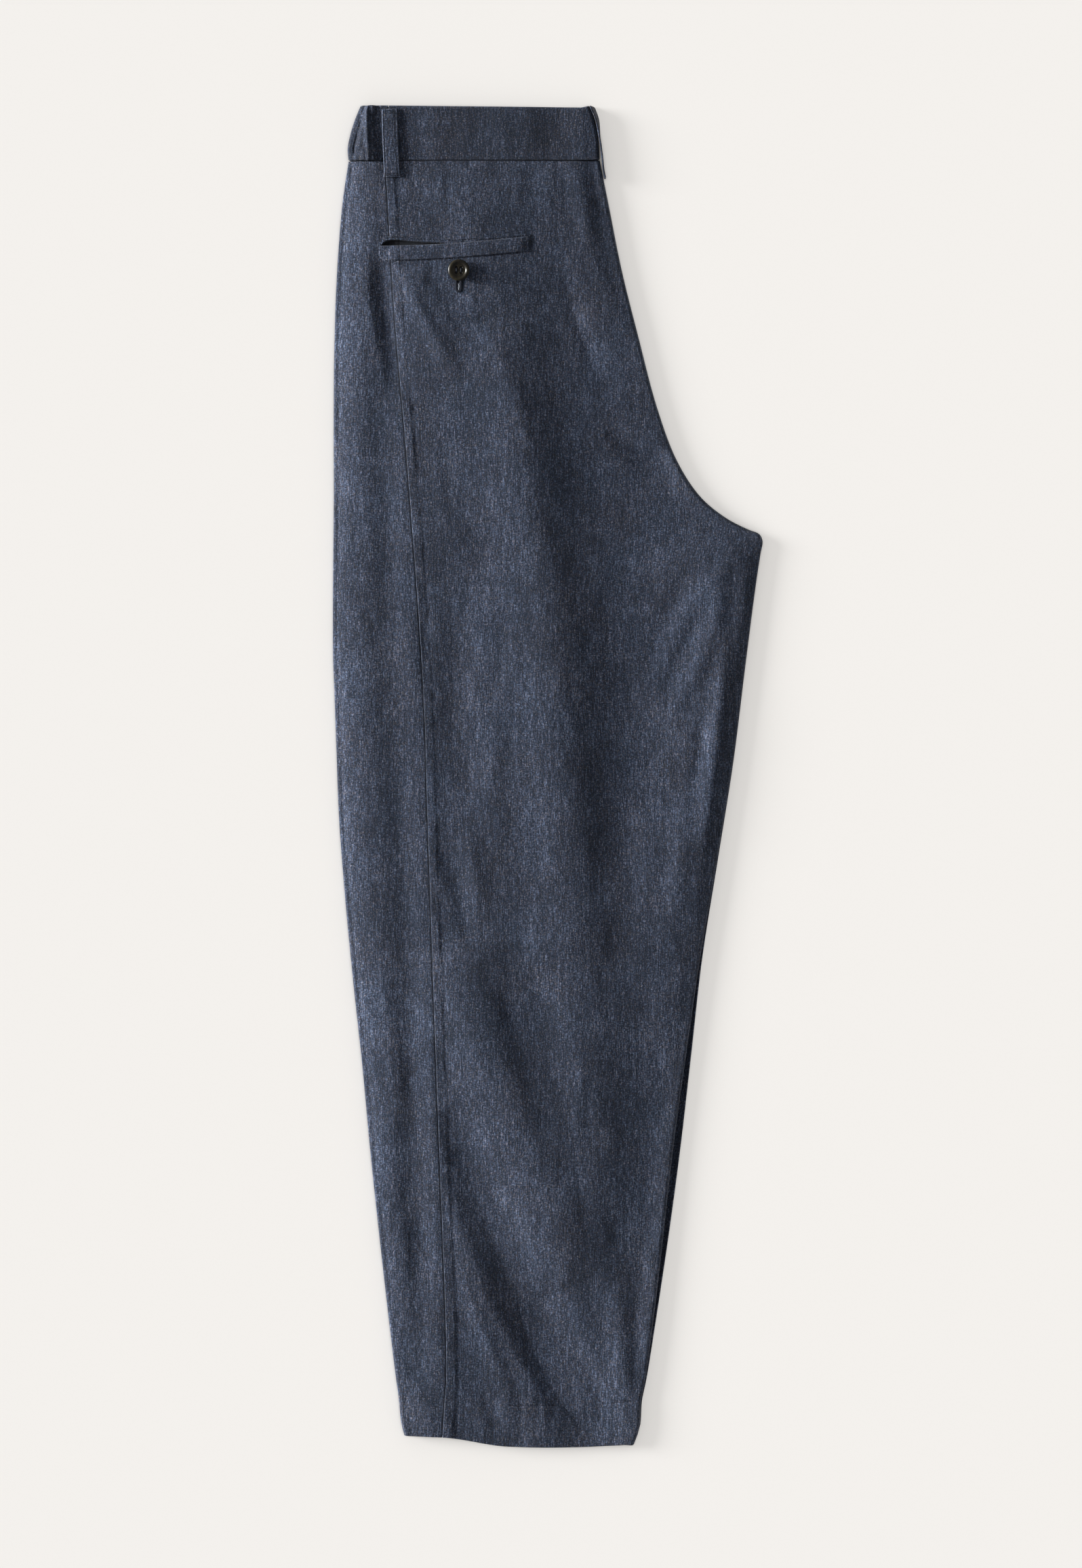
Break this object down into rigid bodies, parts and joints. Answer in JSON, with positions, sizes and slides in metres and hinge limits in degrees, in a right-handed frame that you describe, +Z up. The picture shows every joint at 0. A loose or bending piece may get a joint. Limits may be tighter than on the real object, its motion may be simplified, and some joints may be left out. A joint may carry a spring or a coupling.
{
  "type": "cropped tapered trousers",
  "caption": "Cropped tapered denim trousers folded leg on leg and laid flat, with side-elastic waistband, belt loops, buttoned back welt pocket and turned-up hem.",
  "frame": {"origin": "on the surface that the folded trousers lie on, under the middle of their bounding box", "axes": "+Y runs up the leg to the waistband, +X points from the outer fold to the crotch and inseam, +Z points up from the surface through the showing back panel"},
  "size_m": [0.3108, 0.97, 0.0195],
  "materials": {
    "denim": "matt heathered indigo denim",
    "denim_inside": "matt indigo denim in shadow between the layers",
    "horn": "semi-gloss dark brown horn look",
    "thread": "dark sewing thread"
  },
  "bodies": {
    "root": {"back_panel_upper": "denim", "front_panel_upper": "denim", "back_panel_lower": "denim", "front_panel_lower": "denim", "folded_layers": "denim_inside", "waistband_back_upper": "denim", "waistband_side_upper": "denim", "waistband_lower": "denim", "belt_loop_side": "denim", "belt_loop_back": "denim", "pocket_welt": "denim", "buttonhole": "thread", "button": "horn", "button_thread": "thread"}
  },
  "joints": []
}
